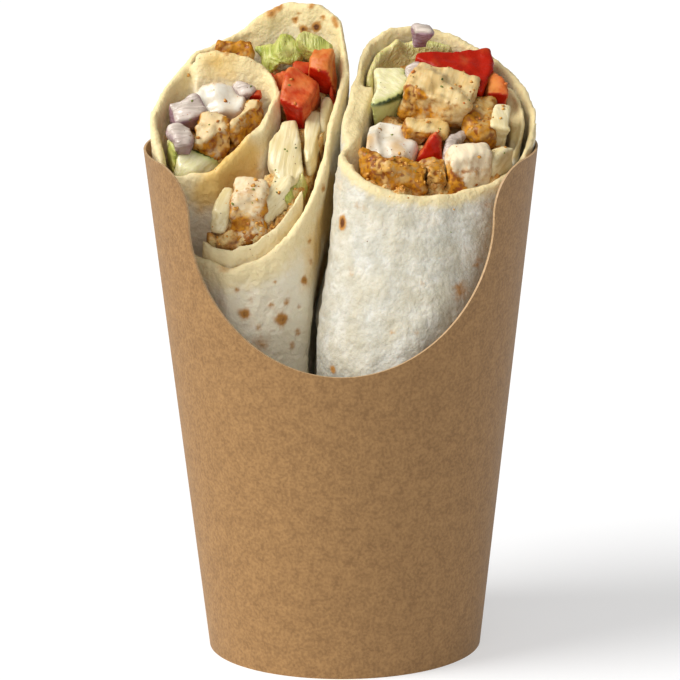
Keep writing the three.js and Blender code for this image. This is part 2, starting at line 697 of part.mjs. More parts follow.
function shapePiece(wrap, piece, grow) {
  const size = piece.size.map((length) => length + grow);
  const geometry = FORMS[piece.form ?? "block"](size, piece);
  return toSolid(geometry.applyMatrix4(restingPlace(wrap, piece)));
}

// Each piece keeps clear of the flatbread and of the pieces named before it.
function addPieces(wrap, room, pieces, kept) {
  const space = pieceRoom(wrap, room);
  for (const piece of pieces) {
    let solid = shapePiece(wrap, piece, 0).intersect(space);
    for (const other of kept) solid = solid.subtract(other);
    kept.push(shapePiece(wrap, piece, 2 * GAP));
    addMesh(piece.name, solid, piece.color, 0.5);
  }
}

addPieces(WRAPS.right, ROOMS.right, RIGHT_PIECES, [linerSpace]);
addPieces(WRAPS.left, ROOMS.pocket, POCKET_PIECES, []);
addPieces(WRAPS.left, ROOMS.left, LEFT_PIECES, []);

export default model;
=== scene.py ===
import math
import random

import bmesh
import bpy
from mathutils import Matrix, Vector, noise
from mathutils.bvhtree import BVHTree
from mathutils.kdtree import KDTree


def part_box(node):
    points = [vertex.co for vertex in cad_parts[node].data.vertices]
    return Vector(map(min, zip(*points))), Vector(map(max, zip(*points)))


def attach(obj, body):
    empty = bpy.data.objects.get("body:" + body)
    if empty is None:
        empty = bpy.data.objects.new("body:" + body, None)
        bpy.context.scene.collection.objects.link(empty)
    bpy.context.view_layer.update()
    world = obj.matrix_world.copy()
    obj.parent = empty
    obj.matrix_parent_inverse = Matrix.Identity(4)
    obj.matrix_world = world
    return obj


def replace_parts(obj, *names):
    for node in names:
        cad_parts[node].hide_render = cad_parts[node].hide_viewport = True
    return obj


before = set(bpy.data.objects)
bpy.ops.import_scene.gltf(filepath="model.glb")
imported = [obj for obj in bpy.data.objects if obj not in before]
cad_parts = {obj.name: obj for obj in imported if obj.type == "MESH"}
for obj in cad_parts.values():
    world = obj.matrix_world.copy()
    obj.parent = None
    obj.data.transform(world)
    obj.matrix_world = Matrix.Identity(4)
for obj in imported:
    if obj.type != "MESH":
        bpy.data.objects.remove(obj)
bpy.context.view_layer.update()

# ---- the view: a pale table top, soft daylight from the left, and a long lens ----
# The object stands alone on a white surface. The camera looks down on it a little from in front,
# far off, so that the cup's sides hardly converge, and it is rolled by half a degree.

scene = bpy.context.scene
collection = scene.collection

cup_low, cup_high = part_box("cup_wall")
rim_radius = (cup_high.x - cup_low.x) / 2
cup_axis_y = cup_high.y - rim_radius

camera_data = bpy.data.cameras.new("camera")
camera_data.sensor_width = 36
camera_data.lens = 275.8
camera_data.clip_end = 20
camera = bpy.data.objects.new("camera", camera_data)
collection.objects.link(camera)
camera_rise = math.radians(13.26)
camera_distance = 1.2
view_middle = Vector((-0.00055, cup_axis_y, 0.0719))
back_off = Vector((0, -math.cos(camera_rise), math.sin(camera_rise)))
camera.location = Vector((0, cup_axis_y, 0.07)) + back_off * camera_distance
aim = (view_middle - camera.location).to_track_quat("-Z", "Y").to_matrix().to_4x4()
roll = Matrix.Rotation(math.radians(-0.5), 4, "Z")
camera.matrix_world = Matrix.Translation(camera.location) @ aim @ roll
scene.camera = camera
scene.view_settings.view_transform = "Standard"


def linear(red, green, blue):
    """A colour given as screen values from 0 to 255, as the shaders take it."""
    return tuple(((c / 255 + 0.055) / 1.055) ** 2.4 for c in (red, green, blue)) + (1.0,)


world = bpy.data.worlds.new("white_room")
scene.world = world
world.use_nodes = True
sky = world.node_tree.nodes["Background"]
sky.inputs["Color"].default_value = (1.0, 1.0, 1.0, 1.0)
sky.inputs["Strength"].default_value = 0.25


def soft_sun(name, round_left, rise, softness, strength):
    """Even daylight from so many degrees left of the front and above the table."""
    lamp = bpy.data.lights.new(name, "SUN")
    lamp.angle = math.radians(softness)
    lamp.energy = strength
    light = bpy.data.objects.new(name, lamp)
    turn, lift = math.radians(round_left), math.radians(rise)
    towards = Vector((-math.sin(turn) * math.cos(lift), -math.cos(turn) * math.cos(lift), math.sin(lift)))
    light.rotation_euler = (-towards).to_track_quat("-Z", "Y").to_euler()
    collection.objects.link(light)


soft_sun("window_left", round_left=70, rise=43, softness=38, strength=3.5)
soft_sun("room_front", round_left=5, rise=40, softness=60, strength=0.5)


def link_piece(name, shape, finish_names=()):
    """Makes an object of a bmesh, links it and gives it its finishes."""
    mesh = bpy.data.meshes.new(name)
    shape.to_mesh(mesh)
    shape.free()
    piece = bpy.data.objects.new(name, mesh)
    collection.objects.link(piece)
    for finish_name in finish_names:
        mesh.materials.append(bpy.data.materials["finish_" + finish_name])
    return piece


def new_finish(name, roughness, specular=0.5):
    """A material with its principled shader, returned as (tree, shader)."""
    material = bpy.data.materials.new("finish_" + name)
    material.use_nodes = True
    shader = material.node_tree.nodes["Principled BSDF"]
    shader.inputs["Roughness"].default_value = roughness
    shader.inputs["Specular IOR Level"].default_value = specular
    return material.node_tree, shader


table_tree, table_shader = new_finish("white_table", roughness=0.9)
table_shader.inputs["Base Color"].default_value = (0.5, 0.5, 0.5, 1.0)
table_shader.inputs["Emission Color"].default_value = (1.0, 1.0, 1.0, 1.0)
table_shader.inputs["Emission Strength"].default_value = 0.5
table_shape = bmesh.new()
bmesh.ops.create_grid(table_shape, x_segments=1, y_segments=1, size=6)
table = link_piece("table_top", table_shape, ["white_table"])

# ---- the cup's wall ----
# One blank of brown kraft board, rolled to a cone and glued over itself at the back. Its front is
# die-cut in a deep scoop, so the cut edge shows the board's paler middle.

rim_height = cup_high.z
board = 0.0005
base_low, base_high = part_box("cup_base")
skirt = (base_high.x - base_low.x) / 2
base_radius = skirt + 0.0008
scoop_half, scoop_middle, scoop_depth, shoulder = 0.0343, 0.1058, 0.0333, 0.0072
board_crease = math.radians(40)


def fixed_piece(name, shape, finish_names, crease=None):
    """Links a piece, shaded smooth except at edges sharper than the crease."""
    piece = link_piece(name, shape, finish_names)
    piece.data.polygons.foreach_set("use_smooth", [True] * len(piece.data.polygons))
    if crease is not None:
        piece.data.set_sharp_from_angle(angle=crease)
    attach(piece, "root")
    return piece


def join(tree, start, end):
    tree.links.new(start, end)


def add_node(tree, kind, **settings):
    """Adds a shader node and sets its own properties."""
    made = tree.nodes.new(kind)
    for key, value in settings.items():
        setattr(made, key, value)
    return made


def feed(tree, socket, value):
    """Gives a socket a plain value, or joins another node's output to it."""
    if isinstance(value, bpy.types.NodeSocket):
        join(tree, value, socket)
    else:
        socket.default_value = value


def mix_colours(tree, share, first, second):
    mixer = add_node(tree, "ShaderNodeMix", data_type="RGBA")
    feed(tree, mixer.inputs[0], share)
    feed(tree, mixer.inputs[6], first)
    feed(tree, mixer.inputs[7], second)
    return mixer.outputs[2]


def ramp(tree, value, low, high, floor=0.0, ceiling=1.0):
    """Turns a value's stretch from low to high into one from floor to ceiling, eased."""
    mapper = add_node(tree, "ShaderNodeMapRange", interpolation_type="SMOOTHSTEP")
    for socket, number in zip(mapper.inputs[:5], (value, low, high, floor, ceiling)):
        feed(tree, socket, number)
    return mapper.outputs[0]


def arithmetic(tree, operation, first, second):
    sums = add_node(tree, "ShaderNodeMath", operation=operation, use_clamp=False)
    feed(tree, sums.inputs[0], first)
    feed(tree, sums.inputs[1], second)
    return sums.outputs[0]


def weakened(tree, share, strength):
    return arithmetic(tree, "MULTIPLY", share, strength)


def covered(tree, colour, layers):
    """Lays other colours over a first one, each given as (share, strength, colour)."""
    for share, strength, layer_colour in layers:
        colour = mix_colours(tree, weakened(tree, share, strength), colour, layer_colour)
    return colour


def paint(tree, shader, colour, layers):
    """Gives a shader a first colour with other colours laid over it."""
    join(tree, covered(tree, colour, layers), shader.inputs["Base Color"])


def read_attribute(tree, name):
    """A number that the mesh holds at each point."""
    return add_node(tree, "ShaderNodeAttribute", attribute_name=name).outputs["Fac"]


def group_tree(name, inputs, output):
    """A shader node group with named number inputs and one number output."""
    tree = bpy.data.node_groups.new(name, "ShaderNodeTree")
    for label, number in inputs:
        socket = tree.interface.new_socket(label, in_out="INPUT", socket_type="NodeSocketFloat")
        socket.default_value = number
    tree.interface.new_socket(output, in_out="OUTPUT", socket_type="NodeSocketFloat")
    return tree, add_node(tree, "NodeGroupInput").outputs, add_node(tree, "NodeGroupOutput").inputs


# Soft uneven cloudiness, as in paper pulp, dough or meat: Size is a cloud's width in millimetres.
# Contrast is the width of the change from none to full, so a small number gives hard-edged clouds.
cloud_inputs = [("Size", 2.0), ("Detail", 3.0), ("Contrast", 0.25)]
cloud_tree, cloud_in, cloud_out = group_tree("clouding", cloud_inputs, "Amount")
cloud_place = add_node(cloud_tree, "ShaderNodeTexCoord")
cloud_scale = arithmetic(cloud_tree, "DIVIDE", 1000.0, cloud_in["Size"])
cloud_noise = add_node(cloud_tree, "ShaderNodeTexNoise")
join(cloud_tree, cloud_place.outputs["Object"], cloud_noise.inputs["Vector"])
join(cloud_tree, cloud_scale, cloud_noise.inputs["Scale"])
join(cloud_tree, cloud_in["Detail"], cloud_noise.inputs["Detail"])
cloud_low = arithmetic(cloud_tree, "SUBTRACT", 0.5, cloud_in["Contrast"])
cloud_high = arithmetic(cloud_tree, "ADD", 0.5, cloud_in["Contrast"])
cloud_amount = ramp(cloud_tree, cloud_noise.outputs["Fac"], cloud_low, cloud_high)
join(cloud_tree, cloud_amount, cloud_out["Amount"])

# Small separate marks, such as specks of spice or toast: Size is their spacing in millimetres,
# Width how much of a cell a mark takes up, and Share how many cells hold one.
speck_inputs = [("Size", 2.0), ("Width", 0.3), ("Share", 0.3)]
speck_tree, speck_in, speck_out = group_tree("specks", speck_inputs, "Amount")
speck_place = add_node(speck_tree, "ShaderNodeTexCoord")
speck_scale = arithmetic(speck_tree, "DIVIDE", 1000.0, speck_in["Size"])
speck_bend = add_node(speck_tree, "ShaderNodeTexNoise")
join(speck_tree, speck_place.outputs["Object"], speck_bend.inputs["Vector"])
join(speck_tree, arithmetic(speck_tree, "MULTIPLY", speck_scale, 1.6), speck_bend.inputs["Scale"])
speck_cells = add_node(speck_tree, "ShaderNodeTexVoronoi")
join(speck_tree, speck_place.outputs["Object"], speck_cells.inputs["Vector"])
join(speck_tree, speck_scale, speck_cells.inputs["Scale"])
speck_pick = add_node(speck_tree, "ShaderNodeSeparateColor")
join(speck_tree, speck_cells.outputs["Color"], speck_pick.inputs[0])
speck_there = arithmetic(speck_tree, "LESS_THAN", speck_pick.outputs[0], speck_in["Share"])
speck_edge = arithmetic(speck_tree, "MULTIPLY", speck_bend.outputs["Fac"], 0.5)
speck_reach = arithmetic(speck_tree, "ADD", speck_cells.outputs["Distance"], speck_edge)
speck_outer = arithmetic(speck_tree, "ADD", speck_in["Width"], 0.25)
speck_inner = arithmetic(speck_tree, "MULTIPLY", speck_outer, 0.6)
speck_shape = ramp(speck_tree, speck_reach, speck_inner, speck_outer, floor=1.0, ceiling=0.0)
join(speck_tree, arithmetic(speck_tree, "MULTIPLY", speck_shape, speck_there), speck_out["Amount"])


def effect(tree, name, **numbers):
    """Places one of the shared effects in a material, with its own numbers."""
    placed = add_node(tree, "ShaderNodeGroup", node_tree=bpy.data.node_groups[name])
    for label, number in numbers.items():
        feed(tree, placed.inputs[label], number)
    return placed.outputs["Amount"]


def bump(tree, shader, height, depth):
    """Relief from a height that runs from 0 to 1, its depth in metres."""
    relief = add_node(tree, "ShaderNodeBump")
    relief.inputs["Strength"].default_value = 1.0
    relief.inputs["Distance"].default_value = depth
    join(tree, height, relief.inputs["Height"])
    join(tree, relief.outputs["Normal"], shader.inputs["Normal"])


def kraft_finish(name, dark, light, mark):
    """Brown paper board: uneven pulp, fine fibre and a few dark flecks."""
    tree, shader = new_finish(name, roughness=0.62)
    pulp = effect(tree, "clouding", Size=2.6, Detail=4.0, Contrast=0.22)
    fibre = effect(tree, "clouding", Size=0.7, Detail=3.0, Contrast=0.17)
    tone = arithmetic(tree, "ADD", weakened(tree, pulp, 0.4), weakened(tree, fibre, 0.6))
    flecks = effect(tree, "specks", Size=1.5, Width=0.12, Share=0.3)
    paint(tree, shader, dark, [(tone, 1.0, light), (flecks, 0.35, mark)])
    bump(tree, shader, fibre, depth=0.00004)


kraft_finish("kraft_board", linear(130, 93, 48), linear(164, 123, 72), linear(100, 68, 32))
kraft_finish("kraft_cut_edge", linear(166, 132, 90), linear(192, 158, 116), linear(150, 112, 70))


def wall_radius(height):
    """The cone's outer radius at a height."""
    return base_radius + (rim_radius - base_radius) * height / rim_height


def scoop_edge(t):
    """The scoop's edge seen from the front, as (x, height), from its left shoulder to its right."""
    side = -1 if t < 0.5 else 1
    from_middle = abs(t - 0.5) * 2
    bowl = 0.8
    if from_middle < bowl:
        turn = from_middle / bowl * math.pi / 2
        return side * scoop_half * math.sin(turn), scoop_middle - scoop_depth * math.cos(turn)
    turn = (from_middle - bowl) / (1 - bowl) * math.pi / 2
    x = scoop_half + shoulder * (1 - math.cos(turn))
    return side * x, scoop_middle + (rim_height - scoop_middle) * math.sin(turn)


shoulder_angle = math.asin((scoop_half + shoulder) / rim_radius)
wall_columns, wall_rows = 320, 60
back_share = 0.5
wall_shape = bmesh.new()
bmesh.ops.create_grid(wall_shape, x_segments=wall_columns, y_segments=wall_rows, size=1)
for vert in wall_shape.verts:
    u, v = (vert.co.x + 1) / 2, (vert.co.y + 1) / 2
    if u < back_share:
        low_turn = top_turn = shoulder_angle + (2 * math.pi - 2 * shoulder_angle) * u / back_share
        top = rim_height
    else:
        t = (u - back_share) / (1 - back_share)
        x, top = scoop_edge(t)
        top_turn = math.asin(x / wall_radius(top)) + 2 * math.pi
        side, spread = (-1 if t < 0.5 else 1), 1 - (1 - abs(2 * t - 1)) ** 2
        low_turn = 2 * math.pi + side * shoulder_angle * spread
    height = top * v
    turn = low_turn + (top_turn - low_turn) * v ** 1.5
    radius = wall_radius(height)
    vert.co = Vector((radius * math.sin(turn), cup_axis_y - radius * math.cos(turn), height))
bmesh.ops.remove_doubles(wall_shape, verts=wall_shape.verts, dist=1e-6)
bmesh.ops.recalc_face_normals(wall_shape, faces=wall_shape.faces)
wall_shape.faces.ensure_lookup_table()
first_middle = wall_shape.faces[0].calc_center_median()
if wall_shape.faces[0].normal.dot(first_middle - Vector((0, cup_axis_y, first_middle.z))) < 0:
    bmesh.ops.reverse_faces(wall_shape, faces=wall_shape.faces)
bmesh.ops.solidify(wall_shape, geom=wall_shape.faces[:], thickness=board)
wall_shape.normal_update()
for face in wall_shape.faces:
    middle = face.calc_center_median()
    outward = Vector((middle.x, middle.y - cup_axis_y, 0)).normalized()
    face.material_index = 1 if abs(face.normal.dot(outward)) < 0.6 else 0
wall_finishes = ["kraft_board", "kraft_cut_edge"]
cup_wall = fixed_piece("cup_board_wall", wall_shape, wall_finishes, board_crease)
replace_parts(cup_wall, "cup_wall")

# ---- the cup's seam, foot and base ----
# The blank's end laps over its beginning at the back and is glued down. The wall's lower edge is
# rolled in and up round the skirt of a pressed base disc, which so sits clear of the table.

seam_width, seam_lift = 0.009, 0.00035
seam_shape = bmesh.new()
bmesh.ops.create_grid(seam_shape, x_segments=8, y_segments=40, size=1)
for vert in seam_shape.verts:
    height = 0.0015 + (rim_height - 0.002) * (vert.co.y + 1) / 2
    radius = wall_radius(height) + seam_lift
    turn = math.pi + vert.co.x * seam_width / 2 / radius
    vert.co = Vector((radius * math.sin(turn), cup_axis_y - radius * math.cos(turn), height))
bmesh.ops.recalc_face_normals(seam_shape, faces=seam_shape.faces)
bmesh.ops.solidify(seam_shape, geom=seam_shape.faces[:], thickness=board)
bmesh.ops.recalc_face_normals(seam_shape, faces=seam_shape.faces)
fixed_piece("cup_seam_lap", seam_shape, ["kraft_board"], board_crease)


def spun_ring(profile):
    """A closed section of (radius, height) points, spun once round the cup's axis."""
    shape = bmesh.new()
    verts = [shape.verts.new((radius, cup_axis_y, height)) for radius, height in profile]
    edges = [shape.edges.new((vert, verts[i - 1])) for i, vert in enumerate(verts)]
    axis_place = Vector((0, cup_axis_y, 0))
    bmesh.ops.spin(shape, geom=verts + edges, cent=axis_place, axis=(0, 0, 1),
                   angle=2 * math.pi, steps=128, use_merge=True)
    bmesh.ops.remove_doubles(shape, verts=shape.verts, dist=1e-6)
    bmesh.ops.recalc_face_normals(shape, faces=shape.faces)
    return shape


fold_height, fold_radius = 0.007, skirt - 0.0009
foot_profile = [
    (base_radius - 0.0004, 0.0002), (base_radius - 0.0004, board), (fold_radius, board),
    (fold_radius, fold_height), (fold_radius - board, fold_height), (fold_radius - board, 0.0004),
    (fold_radius - 0.0001, 0.0),
]
fixed_piece("cup_foot_fold", spun_ring(foot_profile), ["kraft_board"], board_crease)
bend_inside, bend_outside = 0.0016, 0.0011
base_profile = [
    (0.0, base_high.z - board), (skirt - bend_inside, base_high.z - board),
    (skirt - board, base_high.z - bend_inside), (skirt - board, base_low.z), (skirt, base_low.z),
    (skirt, base_high.z - bend_outside), (skirt - bend_outside, base_high.z), (0.0, base_high.z),
]
base_shape = spun_ring(base_profile)
cup_base = fixed_piece("cup_base_disc", base_shape, ["kraft_board"], board_crease)
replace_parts(cup_base, "cup_base")

# ---- the flatbread ----
# A round of soft wheat dough, baked pale with small toasted marks, rolled once round the filling
# and folded in on itself, then cut through on the slant. Its cut edge is doughy and a little oily.

halves = {
    "right": {"middle": Vector((0.0215, -0.00455, 0.1216)), "slope_x": -0.13, "slope_y": 0.60},
    "left": {"middle": Vector((-0.0205, -0.00255, 0.118)), "slope_x": 0.06, "slope_y": 0.95},
}
for half in halves.values():
    half["across"] = Vector((1, 0, half["slope_x"])).normalized()
    half["out"] = Vector((-half["slope_x"], -half["slope_y"], 1)).normalized()
    half["up"] = half["out"].cross(half["across"])
bread_cuts = {"right": Vector((0.13, -0.68, 1)).normalized(),
              "left": Vector((-0.06, -1.19, 1)).normalized()}
roll_middles = {"right": (Vector((0.0125, -0.0065, 0.01)), Vector((0.0215, -0.0045, 0.117))),
                "left": (Vector((-0.0130, 0.0005, 0.01)), Vector((-0.0205, -0.0025, 0.117)))}
# How far below the cut its oil colours the bread.
rim_reaches = {"right": 0.004, "left": 0.009}


def side_of(name):
    """Which half of the wrap a node belongs to."""
    return "left" if "_left" in name else "right"


def eased(value, low, high):
    """0 below low, 1 above high, and a smooth rise between."""
    share = min(1.0, max(0.0, (value - low) / (high - low)))
    return share * share * (3 - 2 * share)


def lumps(place, size, seed=0.0):
    """Smooth unevenness from about -1 to 1, its lumps a given size wide."""
    return noise.noise(place / size + Vector((seed, 1.7 * seed, 0.3 * seed))) * 1.6


def uneven(place, waves, seed):
    """Unevenness in metres, summed from waves of lumps, each a (height, width, step in the seed)."""
    return sum(height * lumps(place, width, seed + step) for height, width, step in waves)


# Melting the corners takes a little off a piece, so it swells by this much again.
swollen = 0.0003


def fine_skin(node, grain, melt):
    """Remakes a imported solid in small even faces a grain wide, with its corners melted down."""
    solid = bmesh.new()
    solid.from_mesh(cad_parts[node].data)
    bmesh.ops.remove_doubles(solid, verts=solid.verts, dist=0.00002)
    draft = link_piece("draft", solid)
    even = draft.modifiers.new("even_faces", "REMESH")
    even.mode = "VOXEL"
    even.voxel_size = grain
    softer = draft.modifiers.new("melted_corners", "SMOOTH")
    softer.factor = 0.5
    softer.iterations = melt
    fine = bmesh.new()
    fine.from_object(draft, bpy.context.evaluated_depsgraph_get())
    draft_mesh = draft.data
    bpy.data.objects.remove(draft)
    bpy.data.meshes.remove(draft_mesh)
    fine.normal_update()
    return fine


def near_tree(places):
    """A search tree that finds the nearest of some places."""
    tree = KDTree(len(places))
    for i, place in enumerate(places):
        tree.insert(place, i)
    tree.balance()
    return tree


# Toasted marks and oil stains on the bread, in millimetres: place, width, strength.
toast_marks = {
    "right": [
        ((0.3, -21.7, 103.9), 1.3, 1.0), ((0.2, -21.5, 102.6), 1.0, 0.8),
        ((-2.2, -28.6, 71.3), 1.0, 0.8), ((26.8, -28.2, 89.0), 2.6, 0.5),
        ((30.5, -25.3, 94.8), 1.6, 0.4), ((11.1, -33.2, 80.8), 0.9, 0.5),
        ((16.7, -33.4, 80.6), 0.9, 0.4), ((1.9, -26.5, 93.2), 1.2, 0.35),
        ((4.0, -24.5, 107.7), 1.4, 0.35), ((32.8, -22.2, 107.4), 1.2, 0.4),
        ((18.0, -31.0, 91.3), 1.0, 0.3), ((-5.5, -18.5, 112.0), 1.4, 0.5),
    ],
    "left": [
        ((-22.1, -24.6, 83.3), 1.4, 0.9), ((-8.4, -19.2, 89.7), 1.1, 0.9),
        ((-13.6, -22.7, 81.6), 1.8, 0.8), ((-16.0, -23.2, 85.1), 0.9, 0.6),
        ((-12.4, -21.9, 85.4), 1.0, 0.6), ((-6.2, -4.1, 81.5), 1.3, 0.8),
        ((-20.5, -24.1, 86.4), 1.2, 0.35), ((-10.0, -20.3, 78.0), 1.0, 0.6),
        ((-11.4, -21.3, 75.2), 1.3, 0.5), ((-18.2, -23.7, 76.6), 2.2, 0.5),
        ((-26.3, -24.8, 95.2), 1.5, 1.0), ((-27.4, -25.3, 93.9), 1.3, 0.6),
        ((-15.8, 16.4, 145.6), 1.6, 0.8), ((-13.9, 17.0, 146.8), 1.0, 0.8),
        ((-6.5, 15.1, 146.8), 0.8, 0.9), ((-10.3, 16.1, 143.4), 0.8, 1.1),
        ((-8.4, 15.5, 141.2), 1.0, 1.1), ((-5.4, 14.9, 142.0), 1.1, 1.3),
        ((-6.9, 15.4, 139.9), 0.8, 1.0), ((-3.8, 14.4, 144.2), 0.7, 0.9),
        ((-12.6, 16.0, 141.6), 0.6, 0.8), ((-1.4, 12.6, 144.4), 1.2, 0.6),
        ((-0.9, 12.1, 142.8), 0.9, 0.6), ((-9.4, 15.9, 144.9), 0.5, 0.8),
        ((-4.2, -13.4, 109.8), 1.1, 0.7), ((-30.5, 12.0, 134.5), 1.8, 0.6),
        ((-3.9, 14.6, 139.4), 0.6, 0.7), ((-7.1, -18.0, 98.5), 0.7, 0.7),
        ((-18.9, -24.0, 80.2), 0.7, 0.8), ((-23.6, -24.8, 88.8), 0.8, 0.7),
        ((-9.6, -20.1, 83.9), 0.6, 0.7), ((-7.2, -17.6, 93.6), 0.9, 0.6),
        ((-15.2, -23.0, 90.3), 0.6, 0.6),
    ],
}
oil_stains = {
    "right": [
        ((-4.0, -19.0, 112.0), 5.0, 0.5), ((20.0, -29.5, 104.0), 5.0, 0.25),
    ],
    "left": [
        ((-26.3, -10.7, 112.5), 6.5, 0.8), ((-22.0, -8.5, 116.5), 6.0, 0.8),
        ((-31.5, -12.6, 107.0), 4.5, 0.8), ((-21.4, -6.7, 111.9), 3.0, 0.5),
        ((-24.7, 7.1, 134.0), 5.0, 0.4), ((-28.7, 7.7, 134.6), 4.0, 0.4),
        ((-4.5, -3.0, 86.8), 7.0, 0.8), ((-3.0, -4.0, 100.0), 7.0, 0.7),
        ((-17.0, 16.4, 146.0), 4.0, 0.5), ((-5.8, -15.5, 97.0), 5.0, 0.8),
        ((-4.2, -10.5, 103.0), 4.5, 0.9), ((-2.4, -5.5, 108.0), 4.5, 0.8),
        ((-6.5, -17.0, 90.0), 4.5, 0.5),
    ],
}


def scattered_marks(shape, count, seed):
    """More small toasted marks, spread by chance over a sheet."""
    chance = random.Random(seed)
    places = [vert.co.copy() * 1000 for vert in chance.sample(list(shape.verts), count)]
    return [(tuple(place), chance.uniform(0.5, 1.2), chance.uniform(0.2, 0.6)) for place in places]


def painted(place, marks):
    """How strongly a set of marks colours a place."""
    strength = 0.0
    for (x, y, z), width, depth in marks:
        away = (place.x * 1000 - x) ** 2 + (place.y * 1000 - y) ** 2 + (place.z * 1000 - z) ** 2
        if away < 9 * width * width:
            strength += depth * math.exp(-away / (width * width))
    return strength


# Faces that small things can land on, for each half: the kind of piece and its search tree.
landings = {"right": [], "left": []}
cut_level, cut_share = 0.09, 0.86
sheet_waves = ((0.00028, 0.009, 0), (0.00012, 0.0035, 0), (0.00006, 0.0014, 0))
ragged_depth, ragged_waves = 0.0012, ((0.0005, 0.004, 5),)


def shift(shape, moves):
    """Moves each vertex of a shape by its own step."""
    for vert, move in zip(shape.verts, moves):
        vert.co += move


def finish_piece(node, shape, finish, slot_name, ending="_piece"):
    """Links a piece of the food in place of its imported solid."""
    landings[side_of(node)].append((slot_name, BVHTree.FromBMesh(shape)))
    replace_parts(fixed_piece(node + ending, shape, [finish]), node)


def bread_sheet(node, grain, melt, mark_count, seed):
    """One sheet of flatbread, a little uneven, with its marks, stains and cut edge written in."""
    side = side_of(node)
    shape = fine_skin(node, grain, melt)
    cut = bread_cuts[side]
    low_middle, high_middle = roll_middles[side]
    rim_places = [vert.co for vert in shape.verts
                  if vert.co.z > cut_level and vert.normal.dot(cut) > cut_share]
    rim_tree = near_tree(rim_places)
    marks = toast_marks[side] + scattered_marks(shape, mark_count, seed)
    names = ("rim", "inside", "toast", "oil", "dough")
    layers = {name: shape.verts.layers.float.new(name) for name in names}
    moves = []
    for vert in shape.verts:
        place = vert.co
        below = rim_tree.find(place)[2]
        share = (place.z - low_middle.z) / (high_middle.z - low_middle.z)
        outward = place - low_middle.lerp(high_middle, share)
        outward.z = 0
        inside = eased(-vert.normal.dot(outward.normalized()), -0.15, 0.15)
        ragged = 1 - eased(below, 0.0, ragged_depth)
        lift = ragged * uneven(place, ragged_waves, seed)
        vert[layers["rim"]] = 1 - eased(below, 0.0, rim_reaches[side])
        vert[layers["inside"]] = inside
        vert[layers["toast"]] = painted(place, marks)
        vert[layers["oil"]] = painted(place, oil_stains[side])
        # Painted light: every point of the left half is marked to be coloured lighter, in place of the
        # light that the cup's left shoulder keeps off it.
        vert[layers["dough"]] = 1.0 if side == "left" else 0.0
        moves.append(vert.normal * uneven(place, sheet_waves, seed) + Vector((0, 0, lift)))
    shift(shape, moves)
    finish_piece(node, shape, "flatbread", "flatbread", "_sheet")


def let_light_in(shader, share, depth, reach):
    """Lets light scatter below the surface: its share, its depth in metres, its reach per colour."""
    shader.inputs["Subsurface Weight"].default_value = share
    shader.inputs["Subsurface Scale"].default_value = depth
    shader.inputs["Subsurface Radius"].default_value = reach


def broken_up(tree, name, patches, strength):
    """A number that the mesh holds, with its edge broken up by patches."""
    return arithmetic(tree, "ADD", read_attribute(tree, name), weakened(tree, patches, strength))


tree, shader = new_finish("flatbread", roughness=0.62, specular=0.35)
let_light_in(shader, share=0.12, depth=0.0012, reach=(1.0, 0.6, 0.35))
flour = effect(tree, "clouding", Size=5.0, Detail=5.0, Contrast=0.2)
crumb = effect(tree, "clouding", Size=1.4, Detail=4.0, Contrast=0.25)
warm = effect(tree, "clouding", Size=9.0, Detail=3.0, Contrast=0.16)
small_toast = effect(tree, "specks", Size=4.5, Width=0.14, Share=0.25)
rim = broken_up(tree, "rim", crumb, 0.3)
oil = broken_up(tree, "oil", flour, 0.35)
toast = broken_up(tree, "toast", crumb, 0.22)
paint(tree, shader, linear(196, 192, 176), [
    (flour, 1.0, linear(220, 218, 208)),
    (crumb, 0.45, linear(172, 165, 142)),
    # Painted light: the left half is coloured lighter all over, to lift the shade it lies in.
    (read_attribute(tree, "dough"), 0.9, linear(252, 242, 216)),
    (warm, 0.16, linear(222, 200, 146)),
    (read_attribute(tree, "inside"), 0.6, linear(226, 206, 158)),
    (ramp(tree, rim, 0.25, 1.1), 0.75, linear(232, 210, 150)),
    (ramp(tree, oil, 0.3, 1.1), 0.85, linear(228, 186, 98)),
    (small_toast, 0.3, linear(186, 152, 92)),
    (ramp(tree, toast, 0.22, 0.75), 1.0, linear(188, 132, 62)),
    (ramp(tree, toast, 0.72, 1.1), 1.0, linear(106, 60, 24)),
])
bread_sheen = ramp(tree, oil, 0.3, 1.2, floor=0.66, ceiling=0.38)
join(tree, bread_sheen, shader.inputs["Roughness"])
bump(tree, shader, crumb, depth=0.00018)

bread_sheet("tortilla_left", grain=0.00075, melt=14, mark_count=34, seed=3)
bread_sheet("tortilla_right", grain=0.00075, melt=14, mark_count=30, seed=8)
bread_sheet("tortilla_fold_right", grain=0.00055, melt=6, mark_count=6, seed=12)
bread_sheet("tortilla_lip_left", grain=0.00055, melt=6, mark_count=4, seed=15)

# ---- the chicken ----
# Pieces of roast shawarma chicken, cut through with the wrap: pale, fibrous meat on top, and a
# golden crust of spices and crumbs round the sides. They are packed against each other.


def long_way(shape):
    """The direction in which a shape is longest."""
    middle = sum((vert.co for vert in shape.verts), Vector()) / len(shape.verts)
    first = max(shape.verts, key=lambda vert: (vert.co - middle).length).co.copy()
    second = max(shape.verts, key=lambda vert: (vert.co - first).length).co.copy()
    return (second - first).normalized()


def lay_grain(shape, fibre, out):
    """Writes each point's place along and across the fibre, in millimetres."""
    along = (fibre - out * fibre.dot(out)).normalized()
    across = out.cross(along)
    layer = shape.verts.layers.float_vector.new("grain")
    for vert in shape.verts:
        vert[layer] = Vector((vert.co.dot(along), vert.co.dot(across), vert.co.dot(out))) * 1000
    return layer


